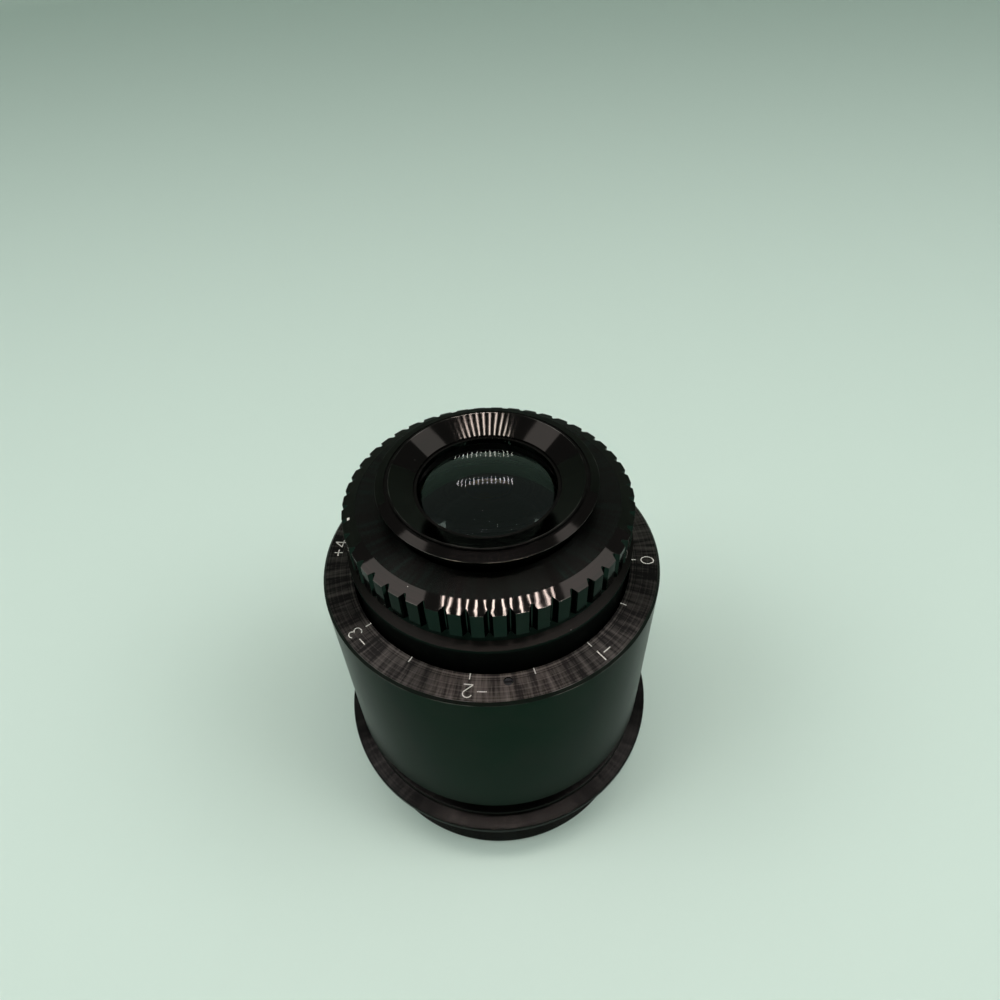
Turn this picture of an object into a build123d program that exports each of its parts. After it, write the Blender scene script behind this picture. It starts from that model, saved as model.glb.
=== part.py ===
from build123d import *
from math import cos, pi, radians, sin, sqrt, tan
import os

# Focusing eyepiece with a dioptre scale and a toothed grip ring.
# A fixed body stands on its threaded mounting barrel. The grip ring turns on a helicoid around
# the guide tube and carries the keyed lens carriage up and down with it. The rest position is
# the raised end of the travel. Millimetres, +Z up, origin at the centre of the barrel's lower
# end. The front of the object, with the mark for minus two, faces -Y.

# Body sleeve with the engraved scale face
body_radius = 32.0
body_height = 40.5
body_wall = 5.8
face_chamfer = 0.5
edge_break = 0.2
face_screw_azimuth = -85.3
face_screw_inset = 1.7
face_screw_radius = 0.75
face_screw_length = 4.0
face_screw_sink = 0.3

# Mounting barrel, flange, shoulder, neck and spigot
barrel_inset = 1.0
barrel_length = 15.3
barrel_chamfer = 0.8
relief_width = 2.5
relief_depth = 1.0
flange_overhang = 2.4
flange_thickness = 1.3
shoulder_inset = 0.5
shoulder_height = 1.2
neck_inset = 2.7
neck_height = 5.2
spigot_step = 0.85
spigot_length = 7.0
spigot_wall = 2.45

# Guide tube, field stop and guide screws
guide_wall = 1.8
guide_flange_thickness = 4.0
stop_ring_step = 1.25
stop_ring_width = 5.9
stop_ring_thickness = 2.5
stop_ring_depth = 3.5
guide_screw_radius = 1.5
guide_tip_radius = 1.2
guide_tip_length = 1.15
guide_screw_drop = 13.0
guide_screw_count = 2

# Helicoid: rise in one turn, and the part of a turn that the stop blocks
lead = 5.0
stop_gap_angle = 20.0

# Helicoid sleeve, stop pin and stop block
sleeve_wall = 4.65
sleeve_drop = 5.5
sleeve_flange_thickness = 1.8
stop_pin_azimuth = 90.0
stop_pin_radius = 1.0
stop_pin_seat = 4.0
stop_pin_overlap = 1.4
stop_block_height = 6.4
stop_block_inset = 0.5
stop_block_play = 0.16
block_screw_radius = 1.0
block_screw_margin = 1.5

# Grip ring
lip_overhang = 0.6
lip_edge = 0.8
lip_slope = 0.6
groove_height = 2.3
groove_step = 0.05
tooth_inset = 0.55
tooth_count = 46
notch_phase = 3.0
notch_depth = 1.0
notch_angle = 60.0
notch_root_radius = 0.25
ring_chamfer_height = 0.95
ring_chamfer_width = 2.45
ring_wall = 1.75
ring_plate = 2.1
grip_screw_radius = 1.0
grip_screw_count = 3
grip_screw_bite = 0.6

# Lens tube, thrust nut and washer
tube_wall = 2.65
tube_tail = 1.4
web_width = 3.1
collar_lift = 4.1
collar_thickness = 2.0
collar_width = 2.9
journal_wall = 1.8
nut_thickness = 1.8
washer_thickness = 0.4

# Eye cup with the cell of the eye lens
cup_gap = 2.7
cup_under_slope = 0.6
cup_edge_thickness = 0.6
cup_slope_height = 0.75
cup_band_width = 1.55
cup_groove_width = 0.5
cup_groove_depth = 0.45
rim_land = 0.35
cone_width = 3.95
cone_depth = 2.2
cone_land = 0.05
cell_wall = 2.75
cell_ledge = 0.9
cell_floor = 1.1
eye_ring_width = 0.6
eye_ring_thickness = 1.14
eye_ring_sink = 0.25

# Lenses: curves as multiples of the lens's own radius, then edge and centre thicknesses
eye_front_bend = 3.11
eye_cement_bend = 1.71
eye_rear_bend = 4.67
eye_crown_edge = 2.2
eye_flint_thickness = 2.0
centre_front_bend = 2.56
centre_rear_bend = 6.0
centre_edge = 1.85
field_front_bend = 4.0
field_cement_bend = 1.83
field_crown_edge = 2.0
field_flint_thickness = 2.5
eye_gap = 0.8
field_gap = 3.0
spacer_wall = 1.85
field_ring_wall = 1.65
field_ring_thickness = 2.5

# Clearances
thread_gap = 0.05
slide_gap = 0.05
thrust_gap = 0.05
screw_gap = 0.05
lens_play = 0.1
end_gap = 0.2
sleeve_play = 0.5
collar_play = 0.65
nut_play = 0.2
plate_play = 0.1
ring_hole_play = 0.4
keyway_play = 0.3
lip_clearance = 1.08
guide_clearance = 0.48
cut_reach = 1.0

# Radii, from the outside to the inside
barrel_radius = body_radius - barrel_inset
flange_radius = body_radius + flange_overhang
shoulder_radius = body_radius - shoulder_inset
neck_radius = body_radius - neck_inset
spigot_radius = neck_radius - spigot_step
barrel_bore_radius = spigot_radius - spigot_wall
recess_radius = spigot_radius + thread_gap
body_bore_radius = body_radius - body_wall
face_screw_circle = body_bore_radius + face_screw_inset
sleeve_neck_radius = body_bore_radius - sleeve_play
sleeve_bore_radius = sleeve_neck_radius - sleeve_wall
guide_outer_radius = sleeve_bore_radius - slide_gap
guide_bore_radius = guide_outer_radius - guide_wall
stop_ring_seat = guide_bore_radius + stop_ring_step
stop_ring_radius = stop_ring_seat - thread_gap
field_stop_radius = stop_ring_radius - stop_ring_width
stop_circle_radius = (sleeve_bore_radius + sleeve_neck_radius) / 2
stop_block_radius = sleeve_neck_radius - stop_block_inset
lip_radius = sleeve_neck_radius + lip_overhang
tooth_radius = lip_radius - tooth_inset
notch_root = tooth_radius - notch_depth
groove_radius = notch_root - groove_step
ring_bore_radius = groove_radius - ring_wall
sleeve_top_radius = ring_bore_radius - thread_gap
ring_flat_radius = tooth_radius - ring_chamfer_width
collar_radius = sleeve_bore_radius - collar_play
nut_pocket_radius = collar_radius + nut_play
journal_radius = collar_radius - collar_width
nut_bore_radius = journal_radius + thread_gap
ring_hole_radius = journal_radius + ring_hole_play
journal_bore_radius = journal_radius - journal_wall
cell_spigot_radius = journal_bore_radius - thread_gap
cell_bore_radius = cell_spigot_radius - cell_wall
eye_lens_radius = cell_bore_radius - thread_gap
eye_ring_bore_radius = cell_bore_radius - eye_ring_width
eye_clear_radius = cell_bore_radius - cell_ledge
cone_low_radius = cell_bore_radius + cone_land
rim_radius = cone_low_radius + cone_width
cup_groove_inner = rim_radius + rim_land
cup_groove_outer = cup_groove_inner + cup_groove_width
cup_edge_radius = cup_groove_outer + cup_band_width
tube_radius = guide_bore_radius - slide_gap
keyway_floor = guide_bore_radius - guide_tip_length - keyway_play
tube_bore_radius = tube_radius - tube_wall
web_bore_radius = tube_bore_radius - web_width
rear_lens_radius = tube_bore_radius - lens_play
rear_ring_radius = tube_bore_radius - thread_gap
spacer_bore_radius = rear_ring_radius - spacer_wall
field_ring_bore_radius = rear_ring_radius - field_ring_wall

# Travel of the helicoid
turn_range = 360 - stop_gap_angle
travel = lead * turn_range / 360

# Levels of the fixed pieces
flange_top = barrel_length + flange_thickness
shoulder_top = flange_top + shoulder_height
body_bottom = shoulder_top + neck_height
spigot_top = body_bottom + spigot_length
guide_flange_top = spigot_top + guide_flange_thickness
stop_ring_top = spigot_top + stop_ring_depth
face = body_bottom + body_height
guide_screw_height = face - guide_screw_drop

# Levels of the turning ring and its sleeve, at rest
ring_bottom = face + travel + lip_clearance
groove_bottom = ring_bottom + lip_edge + lip_slope
teeth_bottom = groove_bottom + groove_height
grip_screw_height = (groove_bottom + teeth_bottom) / 2
collar_top = ring_bottom + collar_lift
collar_bottom = collar_top - collar_thickness
guide_top = collar_bottom - travel - guide_clearance
sleeve_flange_bottom = collar_top + thrust_gap
sleeve_flange_top = sleeve_flange_bottom + sleeve_flange_thickness
washer_bottom = sleeve_flange_top + thrust_gap
nut_bottom = washer_bottom + washer_thickness
nut_top = nut_bottom + nut_thickness
plate_bottom = nut_top + plate_play
ring_top = plate_bottom + ring_plate
teeth_top = ring_top - ring_chamfer_height
sleeve_bottom = face - sleeve_drop
stop_block_top = sleeve_bottom - travel - 2 * end_gap
stop_block_bottom = stop_block_top - stop_block_height
stop_block_azimuth = stop_pin_azimuth + stop_gap_angle / 2
stop_pin_bottom = stop_block_top - stop_pin_overlap

# Levels of the lens carriage, at rest
tube_top = nut_top + end_gap
cup_under = ring_top + cup_gap
cup_edge_bottom = cup_under + cup_under_slope
cup_edge_top = cup_edge_bottom + cup_edge_thickness
rim_top = cup_edge_top + cup_slope_height
cone_low = rim_top - cone_depth
eye_ring_top = cone_low - eye_ring_sink
eye_ring_bottom = eye_ring_top - eye_ring_thickness


def sag(curve, radius):
    """Depth of a sphere of radius curve at a distance radius from its axis."""
    return curve - sqrt(curve ** 2 - radius ** 2)


# Radii of curvature of the lens surfaces
eye_front_curve = eye_front_bend * eye_lens_radius
eye_cement_curve = eye_cement_bend * eye_lens_radius
eye_rear_curve = eye_rear_bend * eye_lens_radius
centre_front_curve = centre_front_bend * rear_lens_radius
centre_rear_curve = centre_rear_bend * rear_lens_radius
field_front_curve = field_front_bend * rear_lens_radius
field_cement_curve = field_cement_bend * rear_lens_radius

# Lens levels from the eye towards the field, worked out from edge thicknesses and sags
eye_vertex = eye_ring_bottom + sag(eye_front_curve, eye_ring_bore_radius)
eye_edge_top = eye_vertex - sag(eye_front_curve, eye_lens_radius)
eye_cement = eye_edge_top - eye_crown_edge - sag(eye_cement_curve, eye_lens_radius)
eye_rear = eye_cement - eye_flint_thickness
ledge_top = eye_rear + sag(eye_rear_curve, eye_clear_radius)
cell_end = eye_rear - cell_floor
web_top = cell_end - end_gap
centre_vertex = eye_rear - eye_gap
web_bottom = centre_vertex - sag(centre_front_curve, web_bore_radius)
centre_edge_top = centre_vertex - sag(centre_front_curve, rear_lens_radius)
centre_rear = centre_edge_top - centre_edge - sag(centre_rear_curve, rear_lens_radius)
spacer_top = centre_rear + sag(centre_rear_curve, spacer_bore_radius)
field_vertex = centre_rear - field_gap
spacer_bottom = field_vertex - sag(field_front_curve, spacer_bore_radius)
field_edge_top = field_vertex - sag(field_front_curve, rear_lens_radius)
field_cement = field_edge_top - field_crown_edge - sag(field_cement_curve, rear_lens_radius)
field_rear = field_cement - field_flint_thickness
field_ring_bottom = field_rear - field_ring_thickness
rear_end = field_ring_bottom - tube_tail


def turned(outline):
    """Solid turned about Z from a closed outline of (radius, height) points."""
    return revolve(Plane.XZ * make_face(Polyline(*outline, close=True)), Axis.Z)


def ring(inner, outer, bottom, top):
    """Plain turned ring."""
    return turned([(inner, bottom), (outer, bottom), (outer, top), (inner, top)])


def radial_rod(radius, inner, outer, azimuth, height):
    """Round rod that lies along a radius of the object."""
    rod = Cylinder(radius, outer - inner, align=(Align.CENTER, Align.CENTER, Align.MIN))
    rod = Pos(inner, 0, height) * Rot(0, 90, 0) * rod
    return Rot(0, 0, azimuth) * rod


def slotted(screw, azimuth, outer, height, radius):
    """Screw with a driver slot across its outer end."""
    slot = Pos(outer, 0, height) * Box(radius, 3 * radius, radius / 2)
    return screw - Rot(0, 0, azimuth) * slot


def spread(count, start=0.0):
    """Azimuths of evenly spaced copies."""
    return [start + 360 * i / count for i in range(count)]


guide_screw_azimuths = spread(guide_screw_count)
grip_screw_azimuths = spread(grip_screw_count, stop_pin_azimuth)


def mount_flange():
    """Threaded barrel, flange, shoulder and neck, turned in one piece."""
    relief = barrel_radius - relief_depth
    return turned([
        (barrel_bore_radius, 0), (barrel_radius - barrel_chamfer, 0),
        (barrel_radius, barrel_chamfer), (barrel_radius, barrel_length - relief_width),
        (relief, barrel_length - relief_width), (relief, barrel_length),
        (flange_radius - edge_break, barrel_length), (flange_radius, barrel_length + edge_break),
        (flange_radius, flange_top - edge_break), (flange_radius - edge_break, flange_top),
        (shoulder_radius, flange_top), (shoulder_radius, shoulder_top - edge_break),
        (shoulder_radius - edge_break, shoulder_top), (neck_radius, shoulder_top),
        (neck_radius, body_bottom), (spigot_radius, body_bottom),
        (spigot_radius, spigot_top), (barrel_bore_radius, spigot_top),
    ])


def face_screw_place():
    """Place of the small screw at the level of the scale face."""
    angle = radians(face_screw_azimuth)
    return Pos(face_screw_circle * cos(angle), face_screw_circle * sin(angle), face)


def body_sleeve():
    """Outer sleeve whose top is the scale face."""
    outer = body_radius - face_chamfer
    sleeve = turned([
        (recess_radius, body_bottom), (body_radius - edge_break, body_bottom),
        (body_radius, body_bottom + edge_break), (body_radius, face - face_chamfer),
        (outer, face), (body_bore_radius + edge_break, face),
        (body_bore_radius, face - edge_break), (body_bore_radius, guide_flange_top),
        (recess_radius, guide_flange_top),
    ])
    depth = face_screw_sink + face_screw_length
    hole = Cylinder(face_screw_radius + screw_gap, depth, align=(Align.CENTER, Align.CENTER, Align.MAX))
    return sleeve - face_screw_place() * hole


def face_screw():
    """Slotted grub screw sunk in the scale face."""
    top = face_screw_place() * Pos(0, 0, -face_screw_sink)
    screw = Cylinder(face_screw_radius, face_screw_length, align=(Align.CENTER, Align.CENTER, Align.MAX))
    slot = Box(3 * face_screw_radius, face_screw_radius / 2, face_screw_radius)
    return top * (screw - slot)


def guide_tube():
    """Fixed tube that guides the carriage, clamped by its flange under the sleeve."""
    tube = turned([
        (stop_ring_seat, spigot_top), (spigot_radius, spigot_top),
        (spigot_radius, guide_flange_top), (guide_outer_radius, guide_flange_top),
        (guide_outer_radius, guide_top), (guide_bore_radius, guide_top),
        (guide_bore_radius, stop_ring_top), (stop_ring_seat, stop_ring_top),
    ])
    for azimuth in guide_screw_azimuths:
        tube -= radial_rod(guide_screw_radius + screw_gap, guide_bore_radius - cut_reach,
                           guide_outer_radius + cut_reach, azimuth, guide_screw_height)
    for height in block_screw_heights():
        tube -= radial_rod(block_screw_radius + screw_gap, guide_bore_radius - cut_reach,
                           guide_outer_radius + cut_reach, stop_block_azimuth, height)
    return tube


def field_stop():
    """Ring with the knife edge that bounds the field."""
    bottom = stop_ring_top - stop_ring_thickness
    return turned([
        (field_stop_radius + stop_ring_thickness - edge_break, bottom), (stop_ring_radius, bottom),
        (stop_ring_radius, stop_ring_top), (field_stop_radius, stop_ring_top),
        (field_stop_radius, stop_ring_top - edge_break),
    ])


def guide_screws():
    """Dog point screws whose tips ride in the keyways of the lens tube."""
    tip_end = guide_bore_radius - guide_tip_length
    screws = []
    for azimuth in guide_screw_azimuths:
        thread = radial_rod(guide_screw_radius, guide_bore_radius, guide_outer_radius,
                            azimuth, guide_screw_height)
        tip = radial_rod(guide_tip_radius, tip_end, guide_bore_radius, azimuth, guide_screw_height)
        screws.append(slotted(thread + tip, azimuth, guide_outer_radius, guide_screw_height,
                              guide_screw_radius))
    return Compound(children=screws)


def block_screw_heights():
    """Heights of the two screws of the stop block."""
    return [stop_block_bottom + block_screw_margin, stop_block_top - block_screw_margin]


def stop_block():
    """Block on the guide tube that ends the turn of the grip ring both ways."""
    half_width = stop_circle_radius * sin(radians(stop_gap_angle / 2)) - stop_pin_radius - stop_block_play
    block = Box(stop_block_radius, 2 * half_width, stop_block_height,
                align=(Align.MIN, Align.CENTER, Align.MIN))
    block = Pos(0, 0, stop_block_bottom) * block
    block &= ring(guide_outer_radius, stop_block_radius, stop_block_bottom, stop_block_top)
    block = Rot(0, 0, stop_block_azimuth) * block
    for height in block_screw_heights():
        block -= radial_rod(block_screw_radius + screw_gap, guide_outer_radius - cut_reach,
                            stop_block_radius + cut_reach, stop_block_azimuth, height)
    return block


def block_screws():
    """Two screws that hold the stop block, flush with its outside."""
    outer = stop_block_radius - end_gap
    screws = []
    for height in block_screw_heights():
        rod = radial_rod(block_screw_radius, guide_bore_radius + end_gap, outer,
                         stop_block_azimuth, height)
        screws.append(slotted(rod, stop_block_azimuth, outer, height, block_screw_radius))
    return Compound(children=screws)


def notches():
    """All V cuts between the teeth, as one solid that reaches past the top."""
    sharp = notch_root - notch_root_radius * (1 / sin(radians(notch_angle / 2)) - 1)
    reach = tooth_radius + cut_reach
    half = (reach - sharp) * tan(radians(notch_angle / 2))
    vee = make_face(Polyline((sharp, 0), (reach, -half), (reach, half), close=True))
    vee = fillet(vee.vertices().sort_by(Axis.X)[0], notch_root_radius)
    height = ring_top - teeth_bottom + 2 * cut_reach
    cut = extrude(Sketch() + PolarLocations(0, tooth_count, notch_phase) * vee, height)
    return Pos(0, 0, teeth_bottom - cut_reach) * cut


def grip_ring():
    """Toothed cap ring with a lip below the teeth and a plate over the sleeve."""
    body = turned([
        (ring_bore_radius, ring_bottom), (lip_radius - edge_break, ring_bottom),
        (lip_radius, ring_bottom + edge_break), (lip_radius, ring_bottom + lip_edge),
        (groove_radius, groove_bottom), (groove_radius, teeth_bottom - edge_break),
        (tooth_radius - edge_break, teeth_bottom), (tooth_radius, teeth_bottom + edge_break),
        (tooth_radius, teeth_top), (ring_flat_radius, ring_top), (ring_hole_radius, ring_top),
        (ring_hole_radius, plate_bottom), (ring_bore_radius, plate_bottom),
    ])
    body -= notches()
    for azimuth in grip_screw_azimuths:
        body -= radial_rod(grip_screw_radius + screw_gap, ring_bore_radius - cut_reach,
                           groove_radius + cut_reach, azimuth, grip_screw_height)
    return body


def grip_screws():
    """Grub screws that lock the grip ring on the helicoid sleeve."""
    screws = []
    for azimuth in grip_screw_azimuths:
        outer = groove_radius - end_gap
        rod = radial_rod(grip_screw_radius, sleeve_top_radius - grip_screw_bite, outer,
                         azimuth, grip_screw_height)
        screws.append(slotted(rod, azimuth, outer, grip_screw_height, grip_screw_radius))
    return Compound(children=screws)


def stop_pin_place(height):
    """Place of the stop pin at a height."""
    angle = radians(stop_pin_azimuth)
    return Pos(stop_circle_radius * cos(angle), stop_circle_radius * sin(angle), height)


def helicoid_sleeve():
    """Threaded sleeve that climbs on the guide tube and lifts the carriage by its flange."""
    sleeve = turned([
        (sleeve_bore_radius, sleeve_bottom), (sleeve_neck_radius, sleeve_bottom),
        (sleeve_neck_radius, ring_bottom), (sleeve_top_radius, ring_bottom),
        (sleeve_top_radius, plate_bottom),
        (nut_pocket_radius, plate_bottom), (nut_pocket_radius, sleeve_flange_top),
        (journal_radius + slide_gap, sleeve_flange_top), (journal_radius + slide_gap, sleeve_flange_bottom),
        (sleeve_bore_radius, sleeve_flange_bottom),
    ])
    pin_hole = Cylinder(stop_pin_radius, stop_pin_seat, align=(Align.CENTER, Align.CENTER, Align.MIN))
    sleeve -= stop_pin_place(sleeve_bottom) * pin_hole
    for azimuth in grip_screw_azimuths:
        sleeve -= radial_rod(grip_screw_radius + screw_gap, sleeve_top_radius - grip_screw_bite,
                             sleeve_top_radius + cut_reach, azimuth, grip_screw_height)
    return sleeve


def stop_pin():
    """Pin under the sleeve that meets the stop block."""
    length = sleeve_bottom + stop_pin_seat - stop_pin_bottom
    pin = Cylinder(stop_pin_radius, length, align=(Align.CENTER, Align.CENTER, Align.MIN))
    return stop_pin_place(stop_pin_bottom) * pin


def lens_tube():
    """Carriage tube with its collar, journal, inner web and two keyways."""
    tube = turned([
        (tube_bore_radius, rear_end), (tube_radius, rear_end), (tube_radius, collar_bottom),
        (collar_radius, collar_bottom), (collar_radius, collar_top), (journal_radius, collar_top),
        (journal_radius, tube_top), (journal_bore_radius, tube_top), (journal_bore_radius, web_top),
        (web_bore_radius, web_top), (web_bore_radius, web_bottom), (tube_bore_radius, web_bottom),
    ])
    low = guide_screw_height - guide_tip_radius - end_gap
    high = guide_screw_height + guide_tip_radius + travel + end_gap
    width = 2 * (guide_tip_radius + slide_gap)
    keyway = Box(tube_radius - keyway_floor + cut_reach, width, high - low,
                 align=(Align.MIN, Align.CENTER, Align.MIN))
    keyway = Pos(keyway_floor, 0, low) * keyway
    for azimuth in guide_screw_azimuths:
        tube -= Rot(0, 0, azimuth) * keyway
    return tube


def thrust_nut():
    """Nut on the lens tube that keeps the sleeve's flange on the collar."""
    return ring(nut_bore_radius, collar_radius, nut_bottom, nut_top)


def thrust_washer():
    """Thin washer between the turning flange and the nut."""
    return ring(nut_bore_radius, collar_radius, washer_bottom, nut_bottom)


def eye_cup():
    """Shallow cone, rim, groove and sloped band, in one piece with the eye lens cell."""
    slope = cup_slope_height / (cup_edge_radius - rim_radius)
    groove_top = rim_top - slope * (cup_groove_outer - rim_radius)
    groove_low = rim_top - cup_groove_depth
    return turned([
        (cell_bore_radius, ledge_top), (cell_bore_radius, cone_low), (cone_low_radius, cone_low),
        (rim_radius, rim_top), (cup_groove_inner, rim_top), (cup_groove_inner, groove_low),
        (cup_groove_outer, groove_low), (cup_groove_outer, groove_top),
        (cup_edge_radius, cup_edge_top), (cup_edge_radius, cup_edge_bottom),
        (journal_radius, cup_under), (journal_radius, tube_top), (cell_spigot_radius, tube_top),
        (cell_spigot_radius, cell_end), (eye_clear_radius, cell_end), (eye_clear_radius, ledge_top),
    ])


def eye_ring():
    """Thin threaded ring that holds the eye lens in its cell."""
    return ring(eye_ring_bore_radius, eye_lens_radius, eye_ring_bottom, eye_ring_top)


def lens(radius, front, front_curve, rear, rear_curve):
    """Lens between two surfaces given by vertex height and signed radius.

    A positive radius bulges upwards, a negative one bulges downwards and None is flat.
    """
    def edge_height(vertex, curve, at):
        if curve is None:
            return vertex
        return vertex - sag(curve, at) if curve > 0 else vertex + sag(-curve, at)

    def surface(vertex, curve):
        rim = (radius, edge_height(vertex, curve, radius))
        if curve is None:
            return Line((0, vertex), rim)
        middle = (radius / 2, edge_height(vertex, curve, radius / 2))
        return ThreePointArc((0, vertex), middle, rim)

    top = surface(front, front_curve)
    bottom = surface(rear, rear_curve)
    outline = Curve() + [top, bottom, Line(top @ 1, bottom @ 1), Line(top @ 0, bottom @ 0)]
    return revolve(Plane.XZ * make_face(outline), Axis.Z)


def eye_crown():
    """Front element of the eye lens, convex both ways."""
    return lens(eye_lens_radius, eye_vertex, eye_front_curve, eye_cement, -eye_cement_curve)


def eye_flint():
    """Rear element of the eye lens, cemented to the front one."""
    return lens(eye_lens_radius, eye_cement, -eye_cement_curve, eye_rear, -eye_rear_curve)


def centre_lens():
    """Single lens between the two cemented pairs."""
    return lens(rear_lens_radius, centre_vertex, centre_front_curve, centre_rear, -centre_rear_curve)


def lens_spacer():
    """Ring that sets the gap between the centre lens and the field lens."""
    return ring(spacer_bore_radius, rear_ring_radius, spacer_bottom, spacer_top)


def field_crown():
    """Front element of the field lens."""
    return lens(rear_lens_radius, field_vertex, field_front_curve, field_cement, -field_cement_curve)


def field_flint():
    """Rear element of the field lens, flat towards the field stop."""
    return lens(rear_lens_radius, field_cement, -field_cement_curve, field_rear, None)


def field_ring():
    """Threaded ring that holds the rear lenses against the web."""
    return ring(field_ring_bore_radius, rear_ring_radius, field_ring_bottom, field_rear)


PIECES = {
    "mount_flange": mount_flange,
    "body_sleeve": body_sleeve,
    "face_screw": face_screw,
    "guide_tube": guide_tube,
    "field_stop": field_stop,
    "guide_screws": guide_screws,
    "stop_block": stop_block,
    "block_screws": block_screws,
    "grip_ring": grip_ring,
    "grip_screws": grip_screws,
    "helicoid_sleeve": helicoid_sleeve,
    "stop_pin": stop_pin,
    "lens_tube": lens_tube,
    "thrust_nut": thrust_nut,
    "thrust_washer": thrust_washer,
    "eye_cup": eye_cup,
    "eye_ring": eye_ring,
    "eye_crown": eye_crown,
    "eye_flint": eye_flint,
    "centre_lens": centre_lens,
    "lens_spacer": lens_spacer,
    "field_crown": field_crown,
    "field_flint": field_flint,
    "field_ring": field_ring,
}

os.makedirs("parts", exist_ok=True)
for name, make in PIECES.items():
    export_step(make(), f"parts/{name}.step")
print("travel in mm", travel, "ratio in m per rad", lead / 1000 / (2 * pi))
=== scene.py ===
"""Studio scene of a focusing eyepiece: black anodised turned parts, engraved scale, coated lenses."""
import logging
from dataclasses import dataclass
from enum import Enum
from functools import lru_cache
from math import cos, pi, radians, sin

import bmesh
import bpy
import numpy as np
from mathutils import Matrix, Vector


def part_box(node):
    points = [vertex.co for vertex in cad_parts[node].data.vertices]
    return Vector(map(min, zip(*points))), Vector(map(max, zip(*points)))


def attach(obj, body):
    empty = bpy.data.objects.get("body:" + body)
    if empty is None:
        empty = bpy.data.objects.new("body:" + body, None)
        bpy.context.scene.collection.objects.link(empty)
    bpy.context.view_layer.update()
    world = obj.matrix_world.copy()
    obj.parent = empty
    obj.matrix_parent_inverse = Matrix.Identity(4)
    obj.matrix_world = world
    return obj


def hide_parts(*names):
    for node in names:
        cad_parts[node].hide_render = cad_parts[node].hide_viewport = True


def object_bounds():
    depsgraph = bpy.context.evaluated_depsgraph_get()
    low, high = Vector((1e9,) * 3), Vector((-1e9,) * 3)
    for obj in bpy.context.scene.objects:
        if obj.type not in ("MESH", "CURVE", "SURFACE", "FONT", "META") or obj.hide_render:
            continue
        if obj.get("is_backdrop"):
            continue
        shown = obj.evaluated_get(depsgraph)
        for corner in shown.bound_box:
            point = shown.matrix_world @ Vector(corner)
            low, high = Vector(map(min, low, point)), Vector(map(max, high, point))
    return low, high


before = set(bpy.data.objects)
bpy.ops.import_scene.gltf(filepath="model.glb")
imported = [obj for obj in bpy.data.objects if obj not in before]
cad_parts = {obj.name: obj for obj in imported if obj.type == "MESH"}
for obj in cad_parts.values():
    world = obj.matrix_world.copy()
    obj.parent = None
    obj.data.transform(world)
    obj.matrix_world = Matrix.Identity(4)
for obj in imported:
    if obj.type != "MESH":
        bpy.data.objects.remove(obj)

log = logging.getLogger("eyepiece")
MM = 0.001
Colour = tuple[float, float, float, float]
Socket = bpy.types.NodeSocket
Tree = bpy.types.NodeTree


class Body(Enum):
    """The three bodies that pieces ride on."""

    FIXED = "body"
    CARRIAGE = "carriage"
    RING = "ring"


def linear(colour: str) -> Colour:
    """Turns an sRGB hex colour into linear light.

    Args:
        colour: Six hex digits after a hash.

    Returns:
        Red, green, blue and a full alpha, each from 0 to 1.
    """
    code = np.array([int(colour[i:i + 2], 16) for i in (1, 3, 5)]) / 255
    light = np.where(code <= 0.04045, code / 12.92, ((code + 0.055) / 1.055) ** 2.4)
    return (*light.tolist(), 1.0)


def add_node(tree: Tree, kind: str, inputs: dict | None = None, **settings) -> bpy.types.Node:
    """Adds one node with its settings, and with a value or a link in each named input.

    Args:
        tree: The tree that gets the node.
        kind: Blender's name for the node's type.
        inputs: Input name or number, and the value or the socket that feeds it.
        **settings: Properties of the node itself.

    Returns:
        The new node.
    """
    node = tree.nodes.new(kind)
    for name, value in settings.items():
        setattr(node, name, value)
    for key, value in (inputs or {}).items():
        if isinstance(value, Socket):
            tree.links.new(value, node.inputs[key])
        else:
            node.inputs[key].default_value = value
    return node


def new_material(name: str) -> tuple[bpy.types.Material, Tree]:
    """Makes an empty node material and returns it with its tree."""
    material = bpy.data.materials.new(name)
    material.use_nodes = True
    material.node_tree.nodes.clear()
    return material, material.node_tree


def combine(tree: Tree, operation: str, *values: float | Socket) -> Socket:
    """Feeds values into a maths node in their order and returns its result."""
    return add_node(tree, "ShaderNodeMath", dict(enumerate(values)), operation=operation).outputs[0]


def ramp(tree: Tree, value: Socket, start: float, end: float, low: float = 0.0,
         high: float = 1.0) -> Socket:
    """Maps a value in a straight line from one span to another and holds it at both ends.

    Args:
        tree: The tree that gets the node.
        value: What is mapped.
        start: The value that gives the low end.
        end: The value that gives the high end.
        low: Result at the start.
        high: Result at the end.

    Returns:
        The socket with the result.
    """
    span = {"Value": value, "From Min": start, "From Max": end, "To Min": low, "To Max": high}
    return add_node(tree, "ShaderNodeMapRange", span).outputs[0]


def mix_colours(tree: Tree, share: Socket, first: Socket | Colour, second: Socket | Colour) -> Socket:
    """Mixes two colours, with the share of the second, and returns the result."""
    mix = add_node(tree, "ShaderNodeMix", {0: share, 6: first, 7: second}, data_type="RGBA")
    return mix.outputs[2]


def grid_faces(rows: int, columns: int, wrap_rows: bool = False,
               wrap_columns: bool = False) -> np.ndarray:
    """Lists the quads of a grid of points that is stored row by row.

    Each quad joins a point with its next in the row, the one after that in the next row, and the one
    that follows the first in the next row.

    Args:
        rows: Number of rows.
        columns: Number of points in a row.
        wrap_rows: Whether the last row joins the first.
        wrap_columns: Whether the last point of a row joins the first.

    Returns:
        Four point numbers for each quad.
    """
    row = np.arange(rows if wrap_rows else rows - 1)[:, None]
    column = np.arange(columns if wrap_columns else columns - 1)[None, :]
    row_next = (row + 1) % rows
    column_next = (column + 1) % columns
    corners = [row * columns + column, row * columns + column_next,
               row_next * columns + column_next, row_next * columns + column]
    return np.stack(corners, axis=-1).reshape(-1, 4)


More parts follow.
